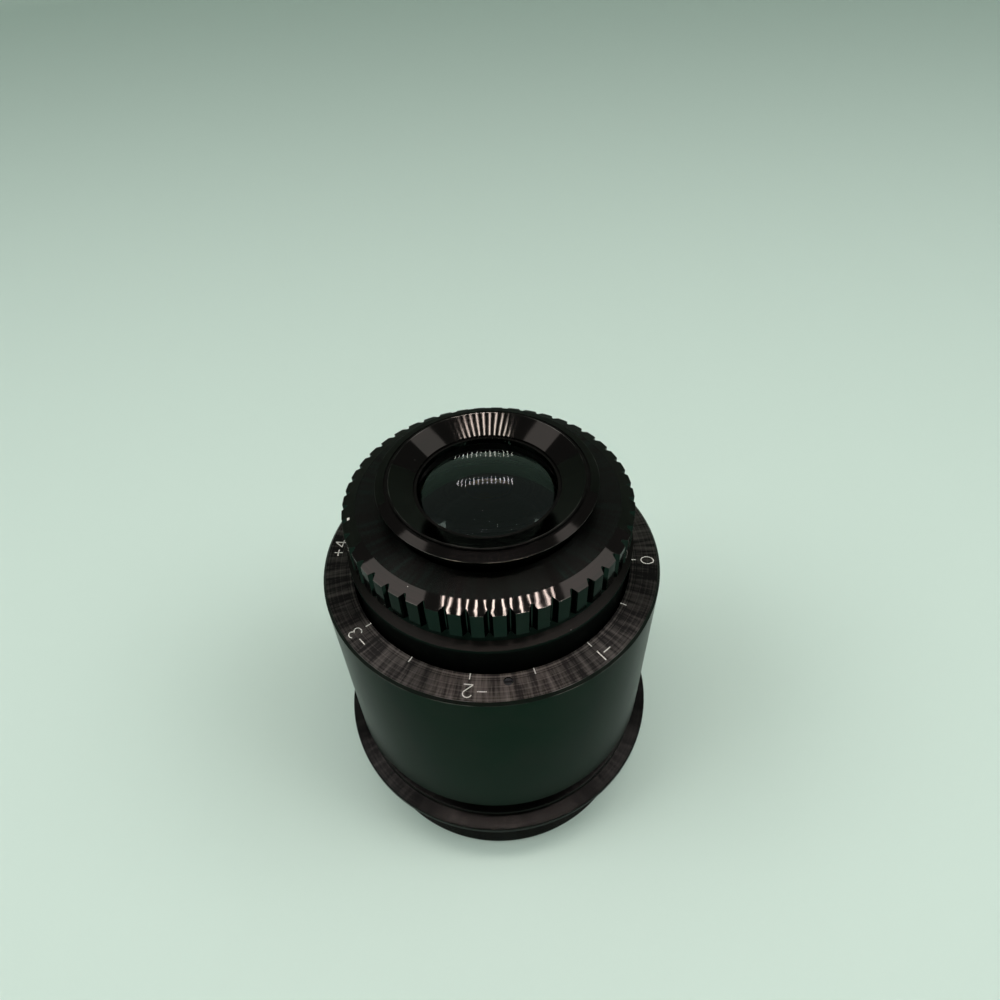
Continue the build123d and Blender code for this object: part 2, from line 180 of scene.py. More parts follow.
def outward(points: np.ndarray, faces: np.ndarray) -> np.ndarray:
    """Turns the faces of a closed shell round where its signed volume is negative.

    The signed volume is the sum, over the two triangles of each quad, of the triple product of their
    corners divided by six. Only its sign counts, so the six is left out.

    Args:
        points: The shell's points.
        faces: Four point numbers for each quad.

    Returns:
        The faces, in an order that makes them look outwards.
    """
    a, b, c, d = (points[faces[:, i]] for i in range(4))
    volume = np.einsum("ij,ij->", a, np.cross(b, c)) + np.einsum("ij,ij->", a, np.cross(c, d))
    return faces if volume > 0 else faces[:, ::-1]


def lathe(profile: np.ndarray, segments: int) -> np.ndarray:
    """Turns a profile about Z: each point (r, z) becomes a circle (r cos t, r sin t, z).

    Args:
        profile: Radii and heights in metres, one row for each point.
        segments: Points round the circle.

    Returns:
        Points, one row of segments for each point of the profile.
    """
    turn = np.arange(segments) * 2 * pi / segments
    radius, height = profile[:, 0][:, None], profile[:, 1][:, None]
    grid = np.stack([radius * np.cos(turn), radius * np.sin(turn), height + 0 * turn], axis=-1)
    return grid.reshape(-1, 3)


def weld(mesh: bpy.types.Mesh) -> None:
    """Joins points that lie on each other, so that poles and seams are closed."""
    shell = bmesh.new()
    shell.from_mesh(mesh)
    bmesh.ops.remove_doubles(shell, verts=shell.verts, dist=1e-7)
    shell.to_mesh(mesh)
    shell.free()


def add_piece(name: str, points: np.ndarray, faces: np.ndarray, material: bpy.types.Material,
              body: Body, crease: float = 30.0) -> bpy.types.Object:
    """Puts a finished mesh into the scene and lets it ride on its body.

    Args:
        name: Name of the piece.
        points: Its points in metres, in the frame of the whole object.
        faces: Four point numbers for each quad.
        material: Its finish.
        body: What it rides on.
        crease: Edges bent by more than this many degrees stay sharp.

    Returns:
        The new object.
    """
    mesh = bpy.data.meshes.new(name)
    mesh.from_pydata(points.tolist(), [], faces.tolist())
    weld(mesh)
    mesh.polygons.foreach_set("use_smooth", np.ones(len(mesh.polygons), dtype=bool))
    mesh.set_sharp_from_angle(angle=radians(crease))
    mesh.materials.append(material)
    mesh.update()
    piece = bpy.data.objects.new(name, mesh)
    bpy.context.scene.collection.objects.link(piece)
    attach(piece, body.value)
    log.info("%s: %d faces on %s", name, len(faces), body.value)
    return piece


def dress(node: str, material: bpy.types.Material) -> None:
    """Gives a node of the frame its finish."""
    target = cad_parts[node]
    target.data.materials.clear()
    target.data.materials.append(material)
    log.info("%s dressed in %s", node, material.name)


# The turned pattern's numbers, the same for every turned finish. Lengths ending in MM are real ones.
PROFILE_SLANT = 1.37              # how much of the height goes into the profile coordinate
MARK_DETAIL, MARK_ROUGHNESS = 3.0, 0.65
PATCH_MM, PATCH_DETAIL = 7, 4.0   # uneven patches in the dye and the grease
PATCH_SPAN = (0.3, 0.7)
PATCH_ROUGHNESS = 0.012           # how far the patches move the roughness each way
FLAT_FROM = 0.95                  # a face whose upward share passes this is a flat face
# Painted light on what faces up: how much patches and marks break it, and the upward share over which it
# comes in.
TOP_BREAK, TOP_SPAN = 1.2, (0.2, 1.3)
# Painted ray highlights on flat faces: their count round the circle, length, detail, roughness, the tool
# marks' share and the span that is bright.
RAYS_ROUND, RAY_LENGTH_MM, RAY_DETAIL, RAY_ROUGHNESS = 22.0, 12, 3.0, 0.7
MARKS_IN_RAYS, RAY_SPAN = 0.6, (0.70, 1.14)
WORN_SPAN, WORN_ROUGHNESS = (0.42, 0.66), 0.3
MATT_ROUGHNESS = 0.45
ROUNDED_EDGE_MM = 0.04
DUST_CELL_MM, DUST_DOT, DUST_KEPT = 1.6, (0.06, 0.03), 0.2
DUST_COLOUR = "#a9a49c"


@dataclass(frozen=True)
class TurnedFinish:
    """Metal turned on a lathe, with circular tool marks that draw each light out into a radial streak.

    The marks are noise along one line, the profile coordinate r + 1.37 z, so they run in circles on
    faces, cylinders and cones alike. Real ones are about 0.1 mm apart, too fine to show from where the
    camera stands, so most finishes draw them coarser. Flat faces are cut more coarsely than cones and
    walls. Worn edges are bands round stated circles of the profile.

    Attributes:
        name: Name of the material.
        colour: What walls reflect.
        top_colour: What faces up reflects, painted lighter and warmer than the walls as painted light from
            the lamps overhead.
        face_colour: What the rays on flat faces reflect, much brighter than the walls: a painted highlight
            of lamp streaks.
        metallic: 1 for bare or dyed metal, 0 for an oxide skin that hides it.
        roughness: Roughness of walls and cones.
        mark_mm: Distance between tool marks.
        mark_depth_mm: Depth of the tool marks.
        edge_tint: Tint of what is seen at a slant.
        face_roughness: Roughness of flat faces, or 0 for that of the walls.
        wall_marks: Share of the marks' depth that walls and cones have.
        anisotropy: How much wider a highlight is across the marks than along them.
        dust: Share of dust specks.
        worn_colour: Colour of bare worn metal.
        worn_width_mm: Width of a worn band.
        worn_circles_mm: Radius and height of each worn edge.
        matt_below_mm: Height under which the piece is matt, or 0.
    """

    name: str
    colour: str
    top_colour: str
    face_colour: str
    metallic: float
    roughness: float
    mark_mm: float
    mark_depth_mm: float
    edge_tint: str = "#ffffff"
    face_roughness: float = 0.0
    wall_marks: float = 0.3
    anisotropy: float = 0.97
    dust: float = 0.3
    worn_colour: str = "#8c8782"
    worn_width_mm: float = 0.08
    worn_circles_mm: tuple[tuple[float, float], ...] = ()
    matt_below_mm: float = 0.0

    @lru_cache(maxsize=None)
    def material(self) -> bpy.types.Material:
        """Builds the material once and returns it."""
        material, tree = new_material(self.name)
        place = add_node(tree, "ShaderNodeTexCoord").outputs["Object"]
        height = add_node(tree, "ShaderNodeSeparateXYZ", {0: place}).outputs["Z"]
        flat = add_node(tree, "ShaderNodeVectorMath", {0: place, 1: (1.0, 1.0, 0.0)},
                        operation="MULTIPLY").outputs[0]
        radius = add_node(tree, "ShaderNodeVectorMath", {0: flat}, operation="LENGTH").outputs["Value"]
        profile = combine(tree, "MULTIPLY_ADD", height, PROFILE_SLANT, radius)
        marks = add_node(tree, "ShaderNodeTexNoise", {
            "W": profile, "Scale": 1 / (self.mark_mm * MM), "Detail": MARK_DETAIL,
            "Roughness": MARK_ROUGHNESS}, noise_dimensions="1D").outputs[0]
        patches = add_node(tree, "ShaderNodeTexNoise", {
            "Vector": place, "Scale": 1 / (PATCH_MM * MM), "Detail": PATCH_DETAIL}).outputs[0]
        upright = add_node(tree, "ShaderNodeNewGeometry").outputs["True Normal"]
        upright = add_node(tree, "ShaderNodeSeparateXYZ", {0: upright}).outputs["Z"]
        flat_face = ramp(tree, upright, FLAT_FROM, 1.0)
        # Painted light: what faces up gets a lighter, warmer colour than the walls, as if lit by the lamps
        # overhead.
        colour = self._shade(tree, upright, patches, marks)
        # Painted highlight: flat faces get bright radial rays painted into their reflectance, standing in
        # for mirrored lamp streaks.
        if self.face_colour != self.top_colour:
            share = combine(tree, "MULTIPLY", flat_face, self._chatter(tree, flat, radius, marks))
            colour = mix_colours(tree, share, colour, linear(self.face_colour))
        if self.dust:
            colour = mix_colours(tree, self._dust(tree, place), colour, linear(DUST_COLOUR))
        rough = ramp(tree, patches, *PATCH_SPAN, self.roughness - PATCH_ROUGHNESS,
                     self.roughness + PATCH_ROUGHNESS)
        if self.worn_circles_mm:
            worn = self._worn(tree, radius, height, patches)
            colour = mix_colours(tree, worn, colour, linear(self.worn_colour))
            rough = combine(tree, "MULTIPLY_ADD", worn, WORN_ROUGHNESS, rough)
        if self.matt_below_mm:
            low = combine(tree, "LESS_THAN", height, self.matt_below_mm * MM)
            rough = combine(tree, "MULTIPLY_ADD", low, MATT_ROUGHNESS, rough)
        if self.face_roughness:
            rough = combine(tree, "MULTIPLY_ADD", flat_face, self.face_roughness - self.roughness, rough)
        rounded = add_node(tree, "ShaderNodeBevel", {"Radius": ROUNDED_EDGE_MM * MM},
                           samples=4).outputs[0]
        bump = add_node(tree, "ShaderNodeBump", {
            "Strength": ramp(tree, flat_face, 0.0, 1.0, self.wall_marks),
            "Distance": self.mark_depth_mm * MM, "Height": marks, "Normal": rounded}).outputs[0]
        tangent = add_node(tree, "ShaderNodeTangent", direction_type="RADIAL", axis="Z").outputs[0]
        shader = add_node(tree, "ShaderNodeBsdfPrincipled", {
            "Base Color": colour, "Metallic": self.metallic, "Roughness": rough, "Normal": bump,
            "Specular Tint": linear(self.edge_tint), "Anisotropic": self.anisotropy,
            "Anisotropic Rotation": 0.25, "Tangent": tangent})
        add_node(tree, "ShaderNodeOutputMaterial", {"Surface": shader.outputs[0]})
        return material

    def _shade(self, tree: Tree, upright: Socket, patches: Socket, marks: Socket) -> Socket:
        """Paints light by facing: goes from the walls' colour to the lighter, warmer colour painted on
        what faces up, a little broken by patches and marks.
        """
        broken = combine(tree, "MULTIPLY", patches, marks)
        tilted = combine(tree, "MULTIPLY_ADD", broken, TOP_BREAK, upright)
        share = ramp(tree, tilted, *TOP_SPAN)
        return mix_colours(tree, share, linear(self.colour), linear(self.top_colour))

    def _chatter(self, tree: Tree, flat: Socket, radius: Socket, marks: Socket) -> Socket:
        """Paints fine radial rays of highlight on a turned face, crossed by its tool marks, standing in
        for lamp streaks.

        The rays are noise read at the unit direction times 22, with the radius over 12 mm as its height.

        Args:
            tree: The tree that gets the nodes.
            flat: Place on the face, without its height.
            radius: Distance from the axis.
            marks: The tool marks.

        Returns:
            The socket with the share of the painted ray highlight colour.
        """
        aim = add_node(tree, "ShaderNodeVectorMath", {0: flat}, operation="NORMALIZE").outputs[0]
        rise = combine(tree, "MULTIPLY", radius, 1 / (RAY_LENGTH_MM * MM))
        rise = add_node(tree, "ShaderNodeCombineXYZ", {"Z": rise}).outputs[0]
        spot = add_node(tree, "ShaderNodeVectorMath", {0: aim, 1: (RAYS_ROUND, RAYS_ROUND, 0.0), 2: rise},
                        operation="MULTIPLY_ADD").outputs[0]
        rays = add_node(tree, "ShaderNodeTexNoise", {"Vector": spot, "Scale": 1.0, "Detail": RAY_DETAIL,
                                                     "Roughness": RAY_ROUGHNESS}).outputs[0]
        return ramp(tree, combine(tree, "MULTIPLY_ADD", marks, MARKS_IN_RAYS, rays), *RAY_SPAN)

    def _worn(self, tree: Tree, radius: Socket, height: Socket, patches: Socket) -> Socket:
        """Marks the worn bands: one minus the distance to a circle over the band's width, broken up."""
        spot = add_node(tree, "ShaderNodeCombineXYZ", {"X": radius, "Z": height}).outputs[0]
        total = None
        for circle_radius, circle_height in self.worn_circles_mm:
            circle = (circle_radius * MM, 0.0, circle_height * MM)
            far = add_node(tree, "ShaderNodeVectorMath", {0: spot, 1: circle},
                           operation="DISTANCE").outputs["Value"]
            band = ramp(tree, far, self.worn_width_mm * MM, 0.0)
            total = band if total is None else combine(tree, "MAXIMUM", total, band)
        return combine(tree, "MULTIPLY", total, ramp(tree, patches, *WORN_SPAN))

    def _dust(self, tree: Tree, place: Socket) -> Socket:
        """Scatters dust: small dots in the cells of a 1.6 mm pattern, of which only a few are kept."""
        cells = add_node(tree, "ShaderNodeTexVoronoi", {"Vector": place, "Scale": 1 / (DUST_CELL_MM * MM)})
        near = ramp(tree, cells.outputs["Distance"], *DUST_DOT)
        pick = add_node(tree, "ShaderNodeSeparateColor", {0: cells.outputs["Color"]}).outputs[0]
        kept = combine(tree, "GREATER_THAN", pick, 1 - DUST_KEPT * self.dust)
        return combine(tree, "MULTIPLY", near, kept)


@dataclass(frozen=True)
class GlassFinish:
    """Polished optical glass with a thin coating that tints what little it reflects.

    Attributes:
        name: Name of the material.
        ior: How strongly the glass bends light.
        tint: Tint of the coating's reflections.
        reflection: Strength of reflections, where 0.5 is that of bare glass.
    """

    name: str
    ior: float
    tint: str
    reflection: float

    @lru_cache(maxsize=None)
    def material(self) -> bpy.types.Material:
        """Builds the material once and returns it."""
        material, tree = new_material(self.name)
        shader = add_node(tree, "ShaderNodeBsdfPrincipled", {
            "Base Color": (1.0, 1.0, 1.0, 1.0), "Roughness": 0.0, "IOR": self.ior,
            "Transmission Weight": 1.0, "Specular IOR Level": self.reflection,
            "Specular Tint": linear(self.tint)})
        add_node(tree, "ShaderNodeOutputMaterial", {"Surface": shader.outputs[0]})
        return material


@dataclass(frozen=True)
class PaintFinish:
    """Matt paint, such as the white fill of engraved marks or the black on lens edges.

    Attributes:
        name: Name of the material.
        colour: Colour of sound paint.
        worn_colour: Colour of worn or thin spots.
        roughness: Roughness of the dry film.
        grain_mm: Size of the grain.
        grain_depth_mm: Depth of the grain.
        grain_span: Values of the grain between which sound paint turns into worn paint.
    """

    name: str
    colour: str
    worn_colour: str
    roughness: float
    grain_mm: float = 0.15
    grain_depth_mm: float = 0.01
    grain_span: tuple[float, float] = (0.45, 0.75)

    @lru_cache(maxsize=None)
    def material(self) -> bpy.types.Material:
        """Builds the material once and returns it."""
        material, tree = new_material(self.name)
        place = add_node(tree, "ShaderNodeTexCoord").outputs["Object"]
        grain = add_node(tree, "ShaderNodeTexNoise", {
            "Vector": place, "Scale": 1 / (self.grain_mm * MM), "Detail": 3.0}).outputs[0]
        share = ramp(tree, grain, *self.grain_span)
        colour = mix_colours(tree, share, linear(self.colour), linear(self.worn_colour))
        bump = add_node(tree, "ShaderNodeBump", {"Distance": self.grain_depth_mm * MM,
                                                 "Height": grain}).outputs[0]
        shader = add_node(tree, "ShaderNodeBsdfPrincipled", {
            "Base Color": colour, "Roughness": self.roughness, "Normal": bump})
        add_node(tree, "ShaderNodeOutputMaterial", {"Surface": shader.outputs[0]})
        return material


# Black anodised aluminium, turned: the dyed oxide lets the metal below reflect only about two percent,
# also at a slant, so walls look near black. The walls' trace of green is a painted reflection of green
# surroundings; the warmer, lighter grey on what faces up and the bright rays on flat faces are painted
# lamp light.
DARK_EDGE = "#c4c4c4"
BODY_BLACK = TurnedFinish(
    "black_anodised_body", colour="#11241b", top_colour="#343130", face_colour="#8a817b", metallic=1.0,
    roughness=0.16, mark_mm=0.35, mark_depth_mm=0.02, edge_tint=DARK_EDGE, face_roughness=0.33,
    wall_marks=0.03, anisotropy=1.0, worn_circles_mm=((31.5, 63.5), (32.0, 63.0)))
# The mount is handled by its flange, so it is duller and dustier than the body.
FLANGE_BLACK = TurnedFinish(
    "black_anodised_mount", colour="#252826", top_colour="#302e2d", face_colour="#585350", metallic=1.0,
    roughness=0.2, mark_mm=0.35, mark_depth_mm=0.012, edge_tint=DARK_EDGE, face_roughness=0.24,
    wall_marks=0.2, anisotropy=1.0, dust=0.7, worn_circles_mm=((34.4, 16.5), (34.4, 15.4)))
# Ring and cup are cut finer and polished by hands, so their cones mirror each lamp as a thin streak.
RING_BLACK = TurnedFinish(
    "black_anodised_ring", colour="#15241f", top_colour="#35312f", face_colour="#3d4a44", metallic=1.0,
    roughness=0.05, mark_mm=0.22, mark_depth_mm=0.008, edge_tint=DARK_EDGE, face_roughness=0.26,
    wall_marks=0.08, worn_circles_mm=((26.3, 69.45), (25.75, 78.75)), matt_below_mm=73.1)
CUP_BLACK = TurnedFinish(
    "black_anodised_cup", colour="#141d1a", top_colour="#2d2a28", face_colour="#3c3937", metallic=1.0,
    roughness=0.05, mark_mm=0.15, mark_depth_mm=0.005, edge_tint=DARK_EDGE, face_roughness=0.24,
    wall_marks=0.1, worn_circles_mm=((16.9, 84.35), (19.3, 83.6)))
# The inside is flat black against stray light, so the lens looks into the dark.
INNER_BLACK = TurnedFinish(
    "matt_black_inner_tube", colour="#141615", top_colour="#181918", face_colour="#181918", metallic=1.0,
    roughness=0.5, mark_mm=0.3, mark_depth_mm=0.01, edge_tint=DARK_EDGE, wall_marks=1.0, anisotropy=0.6,
    dust=0.0)
# Brass for the helicoid and nuts, greased: yellow, with soft rings.
GUIDE_BRASS = TurnedFinish(
    "greased_turned_brass", colour="#a5813f", top_colour="#c09a52", face_colour="#c09a52", metallic=1.0,
    roughness=0.3, mark_mm=0.2, mark_depth_mm=0.004, wall_marks=1.0, dust=0.0)
# Small screws with a black oxide skin: dark with a dull sheen.
DARK_STEEL = TurnedFinish(
    "blackened_steel_screw", colour="#141416", top_colour="#202023", face_colour="#202023", metallic=0.0,
    roughness=0.35, mark_mm=0.15, mark_depth_mm=0.002, wall_marks=1.0, dust=0.0)
# Ground steel for the pin and the thrust washer: bright, with fine rings.
BRIGHT_STEEL = TurnedFinish(
    "ground_steel_pin", colour="#b6b7ba", top_colour="#cfd0d2", face_colour="#cfd0d2", metallic=1.0,
    roughness=0.25, mark_mm=0.1, mark_depth_mm=0.002, wall_marks=1.0, dust=0.0)
# Wax paint rubbed into the engraving: off-white and matt, thin in spots.
WHITE_FILL = PaintFinish("white_engraving_fill", "#e4e1d8", "#a8a49c", 0.6)
# Dull black paint on the lens edges keeps light from straying.
EDGE_BLACK = PaintFinish("black_lens_edge_paint", "#050505", "#0a0a0a", 0.7)
# The front face has the best coating and hardly reflects; the faces behind it show the lamps as dashes.
EYE_FRONT = GlassFinish("coated_eye_lens_front", 1.52, "#e6fff2", 0.03)
EYE_GLASS = GlassFinish("coated_eye_lens_glass", 1.52, "#f4fff8", 1.0)
CENTRE_GLASS = GlassFinish("coated_centre_lens_glass", 1.62, "#f2f8ff", 1.0)
FIELD_GLASS = GlassFinish("coated_field_lens_glass", 1.60, "#ffe4ea", 1.0)


@dataclass
class ThreadedMount:
    """Barrel with its fine mounting thread, relief, flange, shoulder, neck and spigot, in one piece.

    Sizes are in millimetres and repeat the frame's solid, which has the thread as a plain cylinder.
    """

    barrel_radius: float = 31.0
    barrel_bore: float = 26.0
    chamfer: float = 0.8
    thread_top: float = 12.8
    relief_radius: float = 30.0
    flange_bottom: float = 15.3
    flange_radius: float = 34.4
    flange_top: float = 16.6
    shoulder_radius: float = 31.5
    shoulder_top: float = 17.8
    neck_radius: float = 29.3
    neck_top: float = 23.0
    spigot_radius: float = 28.45
    spigot_top: float = 30.0
    edge: float = 0.2
    pitch: float = 0.75
    thread_depth: float = 0.45
    flank_slope: float = 2.6
    crest_share: float = 0.12
    rows_per_turn: int = 14
    segments: int = 180

    def outline(self) -> np.ndarray:
        """Lists the profile above the thread, round the bore and back to the thread's start."""
        e = self.edge
        return np.array([
            (self.relief_radius, self.thread_top), (self.relief_radius, self.flange_bottom),
            (self.flange_radius - e, self.flange_bottom), (self.flange_radius, self.flange_bottom + e),
            (self.flange_radius, self.flange_top - e), (self.flange_radius - e, self.flange_top),
            (self.shoulder_radius, self.flange_top), (self.shoulder_radius, self.shoulder_top - e),
            (self.shoulder_radius - e, self.shoulder_top), (self.neck_radius, self.shoulder_top),
            (self.neck_radius, self.neck_top), (self.spigot_radius, self.neck_top),
            (self.spigot_radius, self.spigot_top), (self.barrel_bore, self.spigot_top),
            (self.barrel_bore, 0.0), (self.barrel_radius - self.chamfer, 0.0)])

    def build(self) -> bpy.types.Object:
        """Builds the piece in place of the plain solid.

        Along the thread the radius is the barrel's less the depth times a trapezoid wave of
        z / pitch - t / (2 pi), where t is the azimuth, and the wave fades out over one pitch at
        both ends.

        Returns:
            The finished piece.
        """
        rows = int((self.thread_top - self.chamfer) / self.pitch * self.rows_per_turn) + 1
        height = np.linspace(self.chamfer, self.thread_top, rows)[:, None]
        turn = (np.arange(self.segments) * 2 * pi / self.segments)[None, :]
        phase = (height / self.pitch - turn / (2 * pi)) % 1.0
        wave = np.clip(self.flank_slope * (0.5 - np.abs(phase - 0.5)) - self.crest_share, 0.0, 1.0)
        ends = np.minimum(height - self.chamfer, self.thread_top - height)
        fade = np.clip(ends / self.pitch, 0.0, 1.0)
        radius = self.barrel_radius - self.thread_depth * wave * fade
        thread = np.stack([radius * np.cos(turn), radius * np.sin(turn), height + 0 * turn], axis=-1)
        points = np.concatenate([thread.reshape(-1, 3), lathe(self.outline(), self.segments)]) * MM
        faces = grid_faces(len(points) // self.segments, self.segments, wrap_rows=True, wrap_columns=True)
        piece = add_piece("threaded_mount", points, outward(points, faces), FLANGE_BLACK.material(),
                          Body.FIXED)
        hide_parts("mount_flange")
        return piece


@dataclass
class ScaleFace:
    """White filled scale on the top face of the body: ticks, half ticks, plain digits and signs.

    Radii and widths are in millimetres and azimuths in degrees. The narrow digit 1 has its minus
    sign closer than the others have. The lift keeps the fill just above the face.
    """

    tick_inner: float = 26.35
    tick_outer: float = 27.5
    digit_bottom: float = 28.45
    digit_height: float = 2.35
    line_width: float = 0.19
    lift: float = 0.01
    zero_azimuth: float = -6.4
    minus_step: float = -46.1
    plus_step: float = 44.7
    sign_scale: float = 0.95
    plus_offset: float = 4.4
    minus_offset: float = 4.6
    first_minus_offset: float = 3.0
    arc_points: int = 24
    line_steps: int = 8

    def arc(self, centre_x: float, centre_y: float, across: float, up: float, start: float,
            end: float) -> np.ndarray:
        """Samples part of an ellipse: centre plus (across cos a, up sin a), a in degrees."""
        angle = np.radians(np.linspace(start, end, self.arc_points))
        return np.stack([centre_x + across * np.cos(angle), centre_y + up * np.sin(angle)], axis=-1)

    def glyph(self, sign: str) -> list[np.ndarray]:
        """Gives the strokes of a digit or sign in a cell one unit high, centred on x = 0."""
        shapes = {
            "0": [self.arc(0, 0.5, 0.36, 0.5, 0, 360)],
            "1": [np.array([(0, 0.1), (0, 1.05)])],
            "2": [np.concatenate([self.arc(0, 0.72, 0.31, 0.28, 165, -40), [(-0.33, 0.0), (0.34, 0.0)]])],
            "3": [np.concatenate([self.arc(-0.02, 0.76, 0.27, 0.24, 150, -80),
                                  self.arc(-0.02, 0.27, 0.33, 0.27, 80, -150)])],
            "4": [np.array([(0.16, 0.0), (0.16, 1.0), (-0.34, 0.34), (0.4, 0.34)])],
            "-": [np.array([(-0.36, 0.5), (0.36, 0.5)])],
            "+": [np.array([(-0.36, 0.5), (0.36, 0.5)]), np.array([(0, 0.14), (0, 0.86)])],
        }
        return shapes[sign]

    def ribbon(self, line: np.ndarray, level: float) -> np.ndarray:
        """Widens a line of (azimuth, radius) points on the face into a strip of two rows.

        Each point goes half a line width to both sides, along the normal of the line's own direction.

        Args:
            line: Azimuth in radians and radius of each point.
            level: Height of the strip.

        Returns:
            Two rows of points.
        """
        azimuth, radius = line[:, 0], line[:, 1]
        flat = np.stack([radius * np.cos(azimuth), radius * np.sin(azimuth)], axis=-1)
        along = np.gradient(flat, axis=0)
        along /= np.linalg.norm(along, axis=1, keepdims=True)
        side = np.stack([-along[:, 1], along[:, 0]], axis=-1) * self.line_width / 2
        rows = np.stack([flat + side, flat - side])
        return np.concatenate([rows, np.full(rows.shape[:2] + (1,), level)], axis=-1)

    def fine(self, stroke: np.ndarray) -> np.ndarray:
        """Adds points to straight stretches, so that corners stay narrow."""
        steps = np.linspace(0, 1, self.line_steps + 1)[:-1, None]
        parts = [a + (b - a) * steps for a, b in zip(stroke[:-1], stroke[1:])]
        return np.concatenate(parts + [stroke[-1:]])

    def place(self, sign: str, azimuth: float, scale: float = 1.0) -> list[np.ndarray]:
        """Puts a glyph on the face with its top outwards, reading clockwise."""
        lines = []
        for stroke in self.glyph(sign):
            stroke = self.fine(stroke)
            radius = self.digit_bottom + self.digit_height * (0.5 + scale * (stroke[:, 1] - 0.5))
            turn = radians(azimuth) - stroke[:, 0] * scale * self.digit_height / radius
            lines.append(np.stack([turn, radius], axis=-1))
        return lines

    def tick(self, azimuth: float) -> np.ndarray:
        """Gives a radial line at an azimuth."""
        angle = radians(azimuth)
        return self.fine(np.array([(angle, self.tick_inner), (angle, self.tick_outer)]))

    def lines(self) -> list[np.ndarray]:
        """Lists every line of the scale, from three below zero to four above."""
        lines = []
        for number in range(-3, 5):
            step = self.minus_step if number < 0 else self.plus_step
            azimuth = self.zero_azimuth + abs(number) * step
            lines.append(self.tick(azimuth))
            lines += self.place(str(abs(number)), azimuth)
            if number > 0:
                lines += self.place("+", azimuth + self.plus_offset, self.sign_scale)
            elif number < 0:
                offset = self.first_minus_offset if number == -1 else self.minus_offset
                lines += self.place("-", azimuth + offset, self.sign_scale)
            if number not in (-3, 4):
                lines.append(self.tick(azimuth + step / 2))
        lines.append(self.tick(self.zero_azimuth + self.minus_step / 2))
        return lines

    def build(self) -> bpy.types.Object:
        """Builds all lines as one piece just above the face."""
        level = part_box("body_sleeve")[1][2] / MM + self.lift
        points, faces, count = [], [], 0
        for line in self.lines():
            strip = self.ribbon(line, level)
            faces.append(grid_faces(2, strip.shape[1])[:, ::-1] + count)
            points.append(strip.reshape(-1, 3))
            count += strip.shape[0] * strip.shape[1]
        return add_piece("scale_marks", np.concatenate(points) * MM, np.concatenate(faces),
                         WHITE_FILL.material(), Body.FIXED)


@dataclass
class GripRing:
    """Toothed ring with the white index dab at the inner end of one notch, sizes in millimetres."""

    index_azimuth: float = -169.17
    notch_root: float = 24.75
    dab_inner: float = 24.3
    dab_width: float = 0.62
    dab_drop: float = 1.3
    chamfer_inner: float = 23.3
    chamfer_outer: float = 25.75
    chamfer_drop: float = 0.95
    lift: float = 0.02
    rows: int = 12
    columns: int = 7

    def build(self) -> bpy.types.Object:
        """Builds the dab: it follows the chamfer outwards, then runs down the notch and narrows.

        Where s runs from 0 to 1 along the dab, the first half lies on the chamfer and the second
        half goes down, and the half width is that at the widest place times the root of
        1 - (1.6 s - 0.6) squared.

        Returns:
            The finished piece.
        """
        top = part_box("grip_ring")[1][2] / MM
        along = np.linspace(0, 1, self.rows)[:, None]
        across = np.linspace(-1, 1, self.columns)[None, :]
        radius = self.dab_inner + (self.notch_root - self.dab_inner) * along * 2
        radius = np.minimum(radius, self.notch_root)
        slope = self.chamfer_drop / (self.chamfer_outer - self.chamfer_inner)
        down = (radius - self.chamfer_inner) * slope + np.maximum(2 * along - 1, 0) * self.dab_drop
        half = self.dab_width / 2 * np.sqrt(np.clip(1 - (1.6 * along - 0.6) ** 2, 0.02, 1.0))
        azimuth = radians(self.index_azimuth) + half * across / radius
        grid = np.stack([(radius + self.lift) * np.cos(azimuth), (radius + self.lift) * np.sin(azimuth),
                         top - down + self.lift + 0 * across], axis=-1)
        return add_piece("index_mark", grid.reshape(-1, 3) * MM, grid_faces(self.rows, self.columns),
                         WHITE_FILL.material(), Body.RING)


@dataclass
class Lens:
    """One glass element between two spherical faces, with a blackened edge.

    A positive curve bulges upwards and a negative one downwards. Heights are those of the vertices.
    All sizes are in millimetres. What is tilted less than the edge's share is part of the edge.
    """

    name: str
    replaced: tuple[str, ...]
    radius: float
    top: float
    top_curve: float
    bottom: float
    bottom_curve: float
    glass: GlassFinish
    front: GlassFinish
    edge_share: float = 0.3
    rings: int = 40
    segments: int = 128

    def cap(self, vertex: float, curve: float, radius: np.ndarray) -> np.ndarray:
        """Height of a face: vertex minus curve plus the signed root of curve squared less r squared."""
        return vertex - curve + np.sign(curve) * np.sqrt(curve ** 2 - radius ** 2)

    def build(self) -> bpy.types.Object:
        """Builds the closed glass body: front glass faces up, then the black edge, then the rear glass."""
        radius = np.linspace(0.0, self.radius, self.rings)
        upper = np.stack([radius, self.cap(self.top, self.top_curve, radius)], axis=-1)
        lower = np.stack([radius, self.cap(self.bottom, self.bottom_curve, radius)], axis=-1)[::-1]
        points = lathe(np.concatenate([upper, lower]), self.segments) * MM
        faces = grid_faces(2 * self.rings, self.segments, wrap_columns=True)
        piece = add_piece(self.name, points, outward(points, faces), self.front.material(),
                          Body.CARRIAGE, crease=20.0)
        piece.data.materials.append(EDGE_BLACK.material())
        piece.data.materials.append(self.glass.material())
        normals = np.zeros(3 * len(piece.data.polygons))
        piece.data.polygons.foreach_get("normal", normals)
        kind = np.digitize(-normals[2::3], [-self.edge_share, self.edge_share])
        piece.data.polygons.foreach_set("material_index", kind.astype(np.int32))
        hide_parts(*self.replaced)
        return piece


